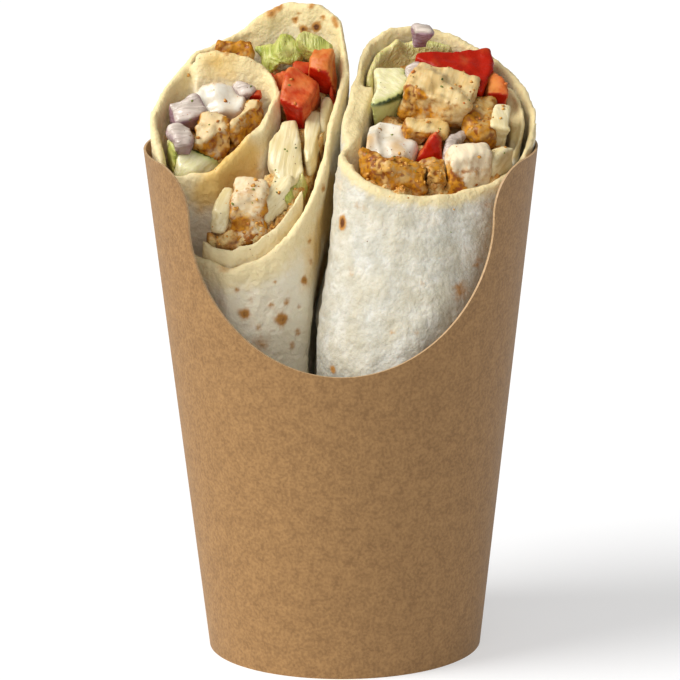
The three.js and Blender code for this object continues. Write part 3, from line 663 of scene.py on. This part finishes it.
# Long marks that follow a piece's own grain: Length and Width in millimetres.
streak_inputs = [("Length", 6.0), ("Width", 0.6), ("Contrast", 0.25)]
streak_tree, streak_in, streak_out = group_tree("streaks", streak_inputs, "Amount")
streak_place = add_node(streak_tree, "ShaderNodeAttribute", attribute_name="grain")
streak_scale = add_node(streak_tree, "ShaderNodeCombineXYZ")
join(streak_tree, arithmetic(streak_tree, "DIVIDE", 1.0, streak_in["Length"]), streak_scale.inputs[0])
for axis in (1, 2):
    across_scale = arithmetic(streak_tree, "DIVIDE", 1.0, streak_in["Width"])
    join(streak_tree, across_scale, streak_scale.inputs[axis])
streak_map = add_node(streak_tree, "ShaderNodeVectorMath", operation="MULTIPLY")
join(streak_tree, streak_place.outputs["Vector"], streak_map.inputs[0])
join(streak_tree, streak_scale.outputs[0], streak_map.inputs[1])
streak_noise = add_node(streak_tree, "ShaderNodeTexNoise")
streak_noise.inputs["Scale"].default_value = 1.0
streak_noise.inputs["Detail"].default_value = 3.0
join(streak_tree, streak_map.outputs[0], streak_noise.inputs["Vector"])
streak_low = arithmetic(streak_tree, "SUBTRACT", 0.5, streak_in["Contrast"])
streak_high = arithmetic(streak_tree, "ADD", 0.5, streak_in["Contrast"])
join(streak_tree, ramp(streak_tree, streak_noise.outputs["Fac"], streak_low, streak_high),
     streak_out["Amount"])

tree, shader = new_finish("chicken", roughness=0.46, specular=0.28)
let_light_in(shader, share=0.10, depth=0.0012, reach=(1.0, 0.5, 0.25))
fibres = effect(tree, "streaks", Length=5.5, Width=0.9, Contrast=0.24)
meat_patch = effect(tree, "clouding", Size=3.2, Detail=4.0, Contrast=0.16)
spice_patch = effect(tree, "clouding", Size=1.1, Detail=4.0, Contrast=0.14)
creamy = effect(tree, "clouding", Size=3.6, Detail=1.5, Contrast=0.2)
pepper = effect(tree, "specks", Size=1.3, Width=0.1, Share=0.28)
meat_colour = covered(tree, linear(202, 170, 108), [
    (fibres, 1.0, linear(220, 196, 142)),
    (meat_patch, 0.45, linear(208, 164, 82)),
    (read_attribute(tree, "pale"), 1.0, linear(234, 218, 186)),
])
crust_colour = covered(tree, linear(132, 68, 2), [
    (spice_patch, 1.0, linear(192, 126, 12)),
    (meat_patch, 0.45, linear(202, 142, 36)),
    (ramp(tree, creamy, 0.7, 1.0), 0.55, linear(222, 184, 112)),
])
crust_share = ramp(tree, broken_up(tree, "crust", spice_patch, 0.3), 0.25, 0.95)
# Painted shade: the sunken crumbs of the crust are coloured dark brown, as if shade fell in them.
painted_hollow_shade = ramp(tree, read_attribute(tree, "relief"), 0.30, 0.02)
paint(tree, shader, meat_colour, [
    (crust_share, 1.0, crust_colour),
    (arithmetic(tree, "MULTIPLY", painted_hollow_shade, crust_share), 0.8, linear(124, 52, 6)),
    (arithmetic(tree, "MULTIPLY", pepper, crust_share), 0.6, linear(86, 52, 16)),
])
sheen = ramp(tree, spice_patch, 0.0, 1.0, floor=0.36, ceiling=0.6)
join(tree, sheen, shader.inputs["Roughness"])
bump(tree, shader, fibres, depth=0.00007)

# How far each piece is crusted on its cut face and round its sides, and towards which way (across,
# up the slope) the crust creeps over the cut face.
crusting = {
    "chicken_right_1": (0.0, 0.4, (-0.45, -0.4)), "chicken_right_2": (0.8, 0.8, (0, 0)),
    "chicken_right_3": (0.0, 0.1, (-0.4, -0.7)), "chicken_right_4": (0.6, 0.6, (0.2, -0.5)),
    "chicken_right_5": (0.0, 0.6, (-0.6, -0.2)), "chicken_right_6": (0.6, 0.7, (0, 0)),
    "chicken_left_1": (0.05, 0.9, (0.5, -0.6)), "chicken_left_2": (0.0, 0.9, (0.6, -0.3)),
    "chicken_left_3": (1.0, 1.0, (0, 0)), "chicken_left_4": (0.15, 0.5, (0.1, -0.6)),
    "chicken_left_5": (0.9, 0.9, (0, 0)),
}
# How white the meat of some pieces is.
paleness = {
    "chicken_right_3": 0.9, "chicken_right_1": 0.1, "chicken_left_1": 0.2, "chicken_left_2": 0.3,
    "chicken_left_4": 0.6,
}
crumb_height, fibre_height = 0.0005, 0.00016
torn_waves = ((0.0009, 0.0065, 0), (0.0006, 0.0032, 2), (0.00022, 0.0014, 6))
for index, (node, (browned, side_crust, creep)) in enumerate(crusting.items()):
    half = halves[side_of(node)]
    low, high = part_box(node)
    middle, reach = (low + high) / 2, (high - low).length / 3.4
    shape = fine_skin(node, grain=0.00042, melt=9)
    chance = random.Random(40 + index)
    fibre = Matrix.Rotation(chance.uniform(0, math.pi), 3, half["out"]) @ half["across"]
    grain = lay_grain(shape, fibre, half["out"])
    crust_layer = shape.verts.layers.float.new("crust")
    pale_layer = shape.verts.layers.float.new("pale")
    relief_layer = shape.verts.layers.float.new("relief")
    moves = []
    for vert in shape.verts:
        place = vert.co
        offset = place - middle
        crept = (offset.dot(half["across"]) * creep[0] + offset.dot(half["up"]) * creep[1]) / reach
        cut_face = eased(vert.normal.dot(half["out"]), 0.45, 0.95)
        crept_share = eased(crept + 0.3 * lumps(place, 0.003, index), 0.25, 0.75)
        patchy = 0.35 * lumps(place, 0.0032, index + 7)
        face_crust = browned + (0.4 + 0.6 * browned) * patchy
        crust = max((1 - cut_face) * (side_crust + patchy), crept_share, face_crust)
        crust = min(1.0, max(0.0, crust))
        crumbly = 0.5 * abs(lumps(place, 0.0034, index)) + 0.5 * abs(lumps(place, 0.0016, index + 9))
        crumbly += 0.25 * lumps(place, 0.0008, index + 5)
        stringy = noise.noise(Vector((vert[grain].x / 5, vert[grain].y / 1.2, vert[grain].z / 1.2)))
        rough = crust * crumb_height * (crumbly - 0.4) + (1 - crust) * fibre_height * stringy
        vert[crust_layer] = crust
        vert[pale_layer] = paleness.get(node, 0.0)
        vert[relief_layer] = crumbly
        moves.append(vert.normal * (swollen + rough + uneven(place, torn_waves, index)))
    shift(shape, moves)
    finish_piece(node, shape, "chicken", "chicken")

# ---- the tomato ----
# Diced ripe tomato: wet orange-red flesh with paler veins, and a thin deep-red skin on one side.

tree, shader = new_finish("tomato", roughness=0.36, specular=0.18)
let_light_in(shader, share=0.12, depth=0.0018, reach=(1.0, 0.25, 0.12))
flesh_streaks = effect(tree, "streaks", Length=3.5, Width=0.9, Contrast=0.2)
flesh_patch = effect(tree, "clouding", Size=2.4, Detail=3.0, Contrast=0.2)
red_flesh = mix_colours(tree, flesh_patch, linear(176, 48, 12), linear(204, 92, 42))
redness = read_attribute(tree, "ripe")
paint(tree, shader, linear(194, 96, 28), [
    (flesh_patch, 1.0, linear(216, 136, 66)),
    (ramp(tree, redness, 0.0, 0.5), 1.0, red_flesh),
    (flesh_streaks, 0.3, linear(210, 132, 82)),
    (ramp(tree, redness, 0.5, 0.95), 1.0, linear(168, 26, 1)),
])
bump(tree, shader, flesh_patch, depth=0.00012)

# How deep a red each piece is on its cut face.
ripeness = {
    "tomato_right_1": 0.95, "tomato_right_2": 0.2, "tomato_right_3": 0.6, "tomato_left_1": 0.45,
    "tomato_left_2": 0.1, "tomato_left_3": 0.8, "tomato_left_4": 0.8, "tomato_left_5": 0.6,
}
tomato_waves = ((0.0002, 0.0022, 0), (0.0004, 0.005, 0))
for index, (node, ripe) in enumerate(ripeness.items()):
    half = halves[side_of(node)]
    shape = fine_skin(node, grain=0.0004, melt=3)
    lay_grain(shape, long_way(shape), half["out"])
    ripe_layer = shape.verts.layers.float.new("ripe")
    moves = []
    for vert in shape.verts:
        skin = eased(-vert.normal.dot(half["across"]) * 0.2 - vert.normal.dot(half["up"]), 0.5, 0.8)
        vert[ripe_layer] = min(1.0, max(ripe + 0.2 * lumps(vert.co, 0.003, index), skin))
        moves.append(vert.normal * (swollen + uneven(vert.co, tomato_waves, index)))
    shift(shape, moves)
    finish_piece(node, shape, "tomato", "tomato")

# ---- the cucumber ----
# Quarters of thick cucumber slices: pale wet flesh, greener towards a thin dark skin.

tree, shader = new_finish("cucumber", roughness=0.24)
let_light_in(shader, share=0.25, depth=0.002, reach=(0.8, 1.0, 0.5))
seed_streaks = effect(tree, "streaks", Length=2.6, Width=1.1, Contrast=0.18)
wet_patch = effect(tree, "clouding", Size=3.0, Detail=3.0, Contrast=0.2)
rind = read_attribute(tree, "rind")
skin_line = arithmetic(tree, "MULTIPLY", ramp(tree, rind, 0.68, 0.9), read_attribute(tree, "edge"))
paint(tree, shader, linear(218, 208, 158), [
    (seed_streaks, 1.0, linear(236, 228, 190)),
    (wet_patch, 0.3, linear(214, 212, 146)),
    (ramp(tree, rind, 0.15, 0.8), 1.0, linear(190, 190, 120)),
    (skin_line, 1.0, linear(48, 66, 20)),
])
bump(tree, shader, seed_streaks, depth=0.0001)

# The way from a quarter's corner to its skin (across, up the slope).
skin_ways = {"cucumber_right": (0.72, -0.7), "cucumber_left": (0.75, 0.66)}
cucumber_waves = ((0.00015, 0.003, 0),)
for index, (node, (skin_x, skin_y)) in enumerate(skin_ways.items()):
    half = halves[side_of(node)]
    skin_way = (half["across"] * skin_x + half["up"] * skin_y).normalized()
    shape = fine_skin(node, grain=0.0004, melt=3)
    lay_grain(shape, skin_way, half["out"])
    skin_places = [vert.co for vert in shape.verts
                   if vert.normal.dot(skin_way) > 0.6 and vert.normal.dot(half["out"]) < 0.3]
    skin_tree = near_tree(skin_places)
    rind_layer = shape.verts.layers.float.new("rind")
    edge_layer = shape.verts.layers.float.new("edge")
    top_level = max(vert.co.dot(half["out"]) for vert in shape.verts)
    moves = []
    for vert in shape.verts:
        below = top_level - vert.co.dot(half["out"])
        vert[edge_layer] = 1 - eased(below, 0.0012, 0.0022)
        vert[rind_layer] = math.exp(-max(0.0, skin_tree.find(vert.co)[2] - 0.0002) / 0.0011)
        moves.append(vert.normal * (swollen + uneven(vert.co, cucumber_waves, index)))
    shift(shape, moves)
    finish_piece(node, shape, "cucumber", "cucumber")

# ---- the red onion ----
# Chopped red onion: glassy white layers with purple edges.

tree, shader = new_finish("red_onion", roughness=0.25)
let_light_in(shader, share=0.3, depth=0.0018, reach=(1.0, 0.8, 0.9))
onion_layers = effect(tree, "streaks", Length=5.0, Width=0.8, Contrast=0.15)
paint(tree, shader, linear(188, 172, 158), [
    (onion_layers, 1.0, linear(214, 200, 186)),
    (ramp(tree, read_attribute(tree, "purple"), 0.2, 1.0), 1.0, linear(156, 122, 132)),
])
bump(tree, shader, onion_layers, depth=0.0002)

# How purple each piece is, from white to deep.
purples = {
    "onion_right_1": 0.7, "onion_right_2": 0.1, "onion_right_3": 0.05,
    "onion_left_1": 0.65, "onion_left_2": 0.5, "onion_left_3": 0.5,
}
# The bit on the top edge has dried and drawn in, by so many metres.
shrunk = {"onion_right_1": 0.0007}
onion_swollen, onion_waves = 0.0004, ((0.0009, 0.0036, 0),)
for index, (node, purple) in enumerate(purples.items()):
    half = halves[side_of(node)]
    shape = fine_skin(node, grain=0.00035, melt=14)
    lay_grain(shape, half["across"], half["out"])
    purple_layer = shape.verts.layers.float.new("purple")
    moves = []
    for vert in shape.verts:
        side_face = 1 - eased(abs(vert.normal.dot(half["out"])), 0.3, 0.9)
        vert[purple_layer] = purple * (0.35 + side_face) + 0.35 * lumps(vert.co, 0.002, index) * purple
        swell = onion_swollen - shrunk.get(node, 0.0)
        moves.append(vert.normal * (swell + uneven(vert.co, onion_waves, index)))
    shift(shape, moves)
    finish_piece(node, shape, "red_onion", "red_onion")

# ---- the cabbage ----
# Crisp strips and cut stalks of white cabbage: cream, glossy, ribbed along their length.

tree, shader = new_finish("cabbage", roughness=0.32)
let_light_in(shader, share=0.25, depth=0.0018, reach=(1.0, 0.9, 0.6))
ribs = effect(tree, "streaks", Length=9.0, Width=0.8, Contrast=0.18)
cabbage_patch = effect(tree, "clouding", Size=4.0, Detail=3.0, Contrast=0.2)
paint(tree, shader, linear(216, 198, 148), [
    (ribs, 1.0, linear(236, 224, 186)),
    (cabbage_patch, 0.35, linear(218, 194, 124)),
])
bump(tree, shader, ribs, depth=0.00007)

rib_height, cabbage_waves = 0.00012, ((0.0006, 0.006, 0),)
cabbage_nodes = sorted(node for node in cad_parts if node.startswith("cabbage"))
for index, node in enumerate(cabbage_nodes):
    half = halves[side_of(node)]
    shape = fine_skin(node, grain=0.0004, melt=4)
    grain = lay_grain(shape, long_way(shape), half["out"])
    moves = []
    for vert in shape.verts:
        rib = noise.noise(Vector((vert[grain].x / 9, vert[grain].y / 1.3, vert[grain].z / 1.3)))
        bent = uneven(vert.co, cabbage_waves, index)
        moves.append(vert.normal * (swollen + rib_height * rib + bent))
    shift(shape, moves)
    finish_piece(node, shape, "cabbage", "cabbage")

# ---- the lettuce ----
# Soft green leaf, folded into the back of each half, its edges waved.

tree, shader = new_finish("lettuce", roughness=0.38)
let_light_in(shader, share=0.3, depth=0.0015, reach=(0.7, 1.0, 0.3))
leaf_veins = effect(tree, "streaks", Length=7.0, Width=0.9, Contrast=0.15)
leaf_patch = effect(tree, "clouding", Size=3.5, Detail=3.0, Contrast=0.2)
paint(tree, shader, linear(148, 160, 44), [
    (leaf_patch, 1.0, linear(196, 198, 100)),
    (leaf_veins, 0.45, linear(210, 206, 132)),
    (read_attribute(tree, "pale"), 0.8, linear(226, 208, 148)),
])
bump(tree, shader, leaf_veins, depth=0.00025)

# How far each leaf is blanched, from green to cream.
leaf_paleness = {
    "lettuce_right": 1.0, "lettuce_left_1": 0.0, "lettuce_left_2": 0.1, "lettuce_left_3": 0.0,
    "lettuce_left_4": 0.35,
}
# How strongly a leaf is crumpled into folds.
crumpled = {"lettuce_right": 0.8, "lettuce_left_1": 0.8}
leaf_waves = ((0.0006, 0.004, 0), (0.0008, 0.009, 3))
fold_width, fold_height = 0.0011, 0.0006
for index, (node, pale) in enumerate(leaf_paleness.items()):
    half = halves[side_of(node)]
    shape = fine_skin(node, grain=0.0004, melt=20 if node == "lettuce_right" else 3)
    lay_grain(shape, half["up"], half["across"])
    pale_layer = shape.verts.layers.float.new("pale")
    moves = []
    for vert in shape.verts:
        vert[pale_layer] = min(1.0, max(0.0, pale + 0.5 * lumps(vert.co, 0.006, index)))
        along = vert.co.dot(half["across"]) / fold_width + 3.0 * lumps(vert.co, 0.008, index)
        wave = uneven(vert.co, leaf_waves, index)
        wave += fold_height * crumpled.get(node, 0.0) * math.sin(along)
        moves.append(vert.normal * swollen + half["out"] * wave)
    shift(shape, moves)
    finish_piece(node, shape, "lettuce", "lettuce")

# ---- the garlic sauce ----
# Thick white yoghurt sauce with garlic, run in soft glossy folds between the pieces.

tree, shader = new_finish("garlic_sauce", roughness=0.25)
let_light_in(shader, share=0.15, depth=0.002, reach=(1.0, 0.9, 0.75))
sauce_patch = effect(tree, "clouding", Size=3.5, Detail=3.0, Contrast=0.2)
stain = effect(tree, "clouding", Size=4.5, Detail=4.0, Contrast=0.06)
stain_share = arithmetic(tree, "MULTIPLY", stain, read_attribute(tree, "stained"))
paint(tree, shader, linear(216, 202, 176), [
    (sauce_patch, 1.0, linear(232, 226, 210)),
    (stain_share, 1.0, linear(206, 158, 84)),
])
bump(tree, shader, sauce_patch, depth=0.0001)

sauce_fold_width, sauce_fold_height = 0.0019, 0.0007
sauce_waves = ((0.0011, 0.005, 0),)
for index, (node, stained) in enumerate((("sauce_right", 0.25), ("sauce_left", 0.0))):
    half = halves[side_of(node)]
    shape = fine_skin(node, grain=0.0004, melt=16)
    stain_layer = shape.verts.layers.float.new("stained")
    moves = []
    for vert in shape.verts:
        vert[stain_layer] = min(1.0, max(0.0, stained + 0.6 * lumps(vert.co, 0.005, index)))
        across = vert.co.dot(half["across"])
        fold = 1 - abs(math.sin(across / sauce_fold_width + 1.6 * lumps(vert.co, 0.007, index)))
        swell = swollen + sauce_fold_height * fold
        moves.append(vert.normal * swell + half["out"] * uneven(vert.co, sauce_waves, index))
    shift(shape, moves)
    bmesh.ops.smooth_vert(shape, verts=shape.verts, factor=0.5, use_axis_x=True, use_axis_y=True,
                          use_axis_z=True)
    finish_piece(node, shape, "garlic_sauce", "garlic_sauce")

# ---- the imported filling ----
# Below the cut pieces lies a packed mass of small chicken bits, cabbage and sauce, which rises
# unevenly into the gaps between them.

tree, shader = new_finish("packed_filling", roughness=0.42)
let_light_in(shader, share=0.1, depth=0.001, reach=(1.0, 0.2, 0.1))
mass_patch = effect(tree, "clouding", Size=2.6, Detail=3.0, Contrast=0.12)
mass_fine = effect(tree, "clouding", Size=0.9, Detail=3.0, Contrast=0.15)
paint(tree, shader, linear(184, 122, 44), [
    (mass_patch, 1.0, linear(222, 194, 132)),
    (mass_fine, 0.4, linear(218, 166, 76)),
    # Painted shade: the mass is coloured dark brown in the low places between its lumps, as if shade lay
    # there.
    (ramp(tree, read_attribute(tree, "relief"), 0.4, 0.08), 0.85, linear(120, 62, 18)),
])
bump(tree, shader, mass_fine, depth=0.0002)

mass_rise, mass_lumps = 0.0012, 0.0028
for index, node in enumerate(("filling_right", "filling_left", "filling_left_pocket")):
    half = halves[side_of(node)]
    shape = fine_skin(node, grain=0.0007, melt=2)
    relief_layer = shape.verts.layers.float.new("relief")
    moves = []
    for vert in shape.verts:
        lumpy = abs(lumps(vert.co, 0.004, index)) + 0.5 * abs(lumps(vert.co, 0.002, index + 4))
        top_face = eased(vert.normal.dot(half["out"]), 0.4, 0.8) * eased(vert.co.z, 0.09, 0.095)
        vert[relief_layer] = lumpy
        rise = top_face * (mass_rise + mass_lumps * lumpy)
        moves.append(half["out"] * rise + vert.normal * swollen)
    shift(shape, moves)
    finish_piece(node, shape, "packed_filling", "filling")

# ---- the crumbs of the roast ----
# Flakes and crumbs of the chicken's crust, fallen among the cut pieces and stuck there. Some lie on
# the rims of the flatbread.

drop_height, drop_reach = 0.03, 0.045


def landed(side, across, up):
    """Where a thing dropped on a half comes to lie: (place, normal, kind), or None."""
    half = halves[side]
    start = half["middle"] + half["across"] * across + half["up"] * up + half["out"] * drop_height
    nearest, found = drop_reach, None
    for kind, tree in landings[side]:
        place, normal, _, away = tree.ray_cast(start, -half["out"], nearest)
        if place is not None:
            nearest, found = away, (place, normal, kind)
    return found


def lying(place, normal, size, turn, sunk):
    """The matrix that lays a unit shape on a surface, sunk into it by a share of its height."""
    stand = normal.to_track_quat("Z", "Y").to_matrix().to_4x4()
    spin = Matrix.Rotation(turn, 4, "Z")
    middle = place + normal * size[2] * (1 - 2 * sunk)
    return Matrix.Translation(middle) @ stand @ spin @ Matrix.Diagonal((*size, 1.0))


def scattered_spots(areas, shares, sizes, flatness, sunk, seed):
    """Chance places over some areas of the filling, each (side, across, up, width, depth, count),
    for things of some sizes, all in millimetres. The shares say how readily a thing stays on each
    kind of piece."""
    chance = random.Random(seed)
    spots = []
    for side, across, up, wide, deep, count in areas:
        for _ in range(count):
            x = (across + chance.gauss(0, 0.5) * wide) / 1000
            y = (up + chance.gauss(0, 0.5) * deep) / 1000
            size = chance.uniform(*sizes) / 2000
            turn = chance.uniform(0, 2 * math.pi)
            kept = chance.random()
            found = landed(side, x, y)
            if found is None or kept > shares.get(found[2], shares["else"]):
                continue
            if found[1].dot(halves[side]["out"]) < 0.25:
                continue
            own = (size, size * chance.uniform(0.55, 0.9), size * flatness)
            spots.append(lying(found[0], found[1], own, turn, sunk))
    return spots


def strewn(name, finish, slot_name, areas, shares, **how):
    """Scatters small torn lumps over some areas, all in one piece."""
    lump = bmesh.new()
    bmesh.ops.create_icosphere(lump, subdivisions=1, radius=1)
    together = bmesh.new()
    for number, spot in enumerate(scattered_spots(areas, shares, **how)):
        one = lump.copy()
        chance = random.Random(number)
        for vert in one.verts:
            vert.co *= chance.uniform(0.5, 1.0)
        bmesh.ops.transform(one, matrix=spot, verts=one.verts)
        copy = bpy.data.meshes.new("copy")
        one.to_mesh(copy)
        one.free()
        together.from_mesh(copy)
        bpy.data.meshes.remove(copy)
    lump.free()
    fixed_piece(name, together, [finish])


def dry_finish(name, roughness, size, contrast, dark, light):
    """A dull finish, mottled from crumb to crumb."""
    tree, shader = new_finish(name, roughness)
    tone = effect(tree, "clouding", Size=size, Detail=2.0, Contrast=contrast)
    paint(tree, shader, dark, [(tone, 1.0, light)])


dry_finish("roast_crumbs", 0.5, size=1.2, contrast=0.14,
           dark=linear(166, 94, 16), light=linear(222, 164, 70))

crumb_areas = [
    ("right", -6, -18, 20, 7, 220), ("right", 4, 0, 20, 18, 130), ("right", 12, 2, 6, 16, 50),
    ("left", -6, 3, 16, 14, 90), ("left", -1, -20, 12, 8, 130), ("left", 8, 2, 14, 30, 60),
    ("left", -3, 22, 8, 5, 40),
]
crumb_shares = {"filling": 0.9, "chicken": 0.4, "flatbread": 0.06, "else": 0.1}
strewn("roast_crumb_scatter", "roast_crumbs", "chicken", crumb_areas, crumb_shares,
       sizes=(0.4, 1.5), flatness=0.45, sunk=0.35, seed=71)

# ---- the herbs and spices ----
# Chopped dried herb and specks of ground paprika and pepper from the marinade and the sauce.

dry_finish("herb_flakes", 0.6, size=2.0, contrast=0.15,
           dark=linear(70, 84, 24), light=linear(132, 142, 52))
herb_shares = {"flatbread": 0.15, "tomato": 0.3, "cucumber": 0.3, "else": 0.8}
herb_areas = [("right", -2, -4, 26, 26, 40), ("left", -6, 4, 18, 16, 22), ("left", 2, -14, 14, 16, 16)]
strewn("herb_flake_scatter", "herb_flakes", "lettuce", herb_areas, herb_shares,
       sizes=(0.45, 1.1), flatness=0.25, sunk=0.2, seed=5)

dry_finish("spice_specks", 0.6, size=1.5, contrast=0.12,
           dark=linear(96, 44, 14), light=linear(196, 96, 24))
spice_shares = {"flatbread": 0.35, "tomato": 0.2, "cucumber": 0.3, "else": 0.9}
spice_areas = [("right", -2, -4, 30, 30, 130), ("left", -6, 4, 20, 18, 70), ("left", 2, -16, 18, 18, 70)]
strewn("spice_speck_scatter", "spice_specks", "filling", spice_areas, spice_shares,
       sizes=(0.18, 0.42), flatness=0.5, sunk=0.35, seed=19)

# ---- the small bits of tomato ----
# Small bits of tomato that came off in the chopping and lie between the pieces.

tomato_shares = {"flatbread": 0.0, "filling": 1.0, "else": 0.5}
tomato_areas = [("right", 4, 2, 20, 18, 10), ("left", 10, 10, 14, 12, 12)]
strewn("tomato_bit_scatter", "tomato", "tomato", tomato_areas, tomato_shares,
       sizes=(0.8, 1.8), flatness=0.6, sunk=0.3, seed=44)
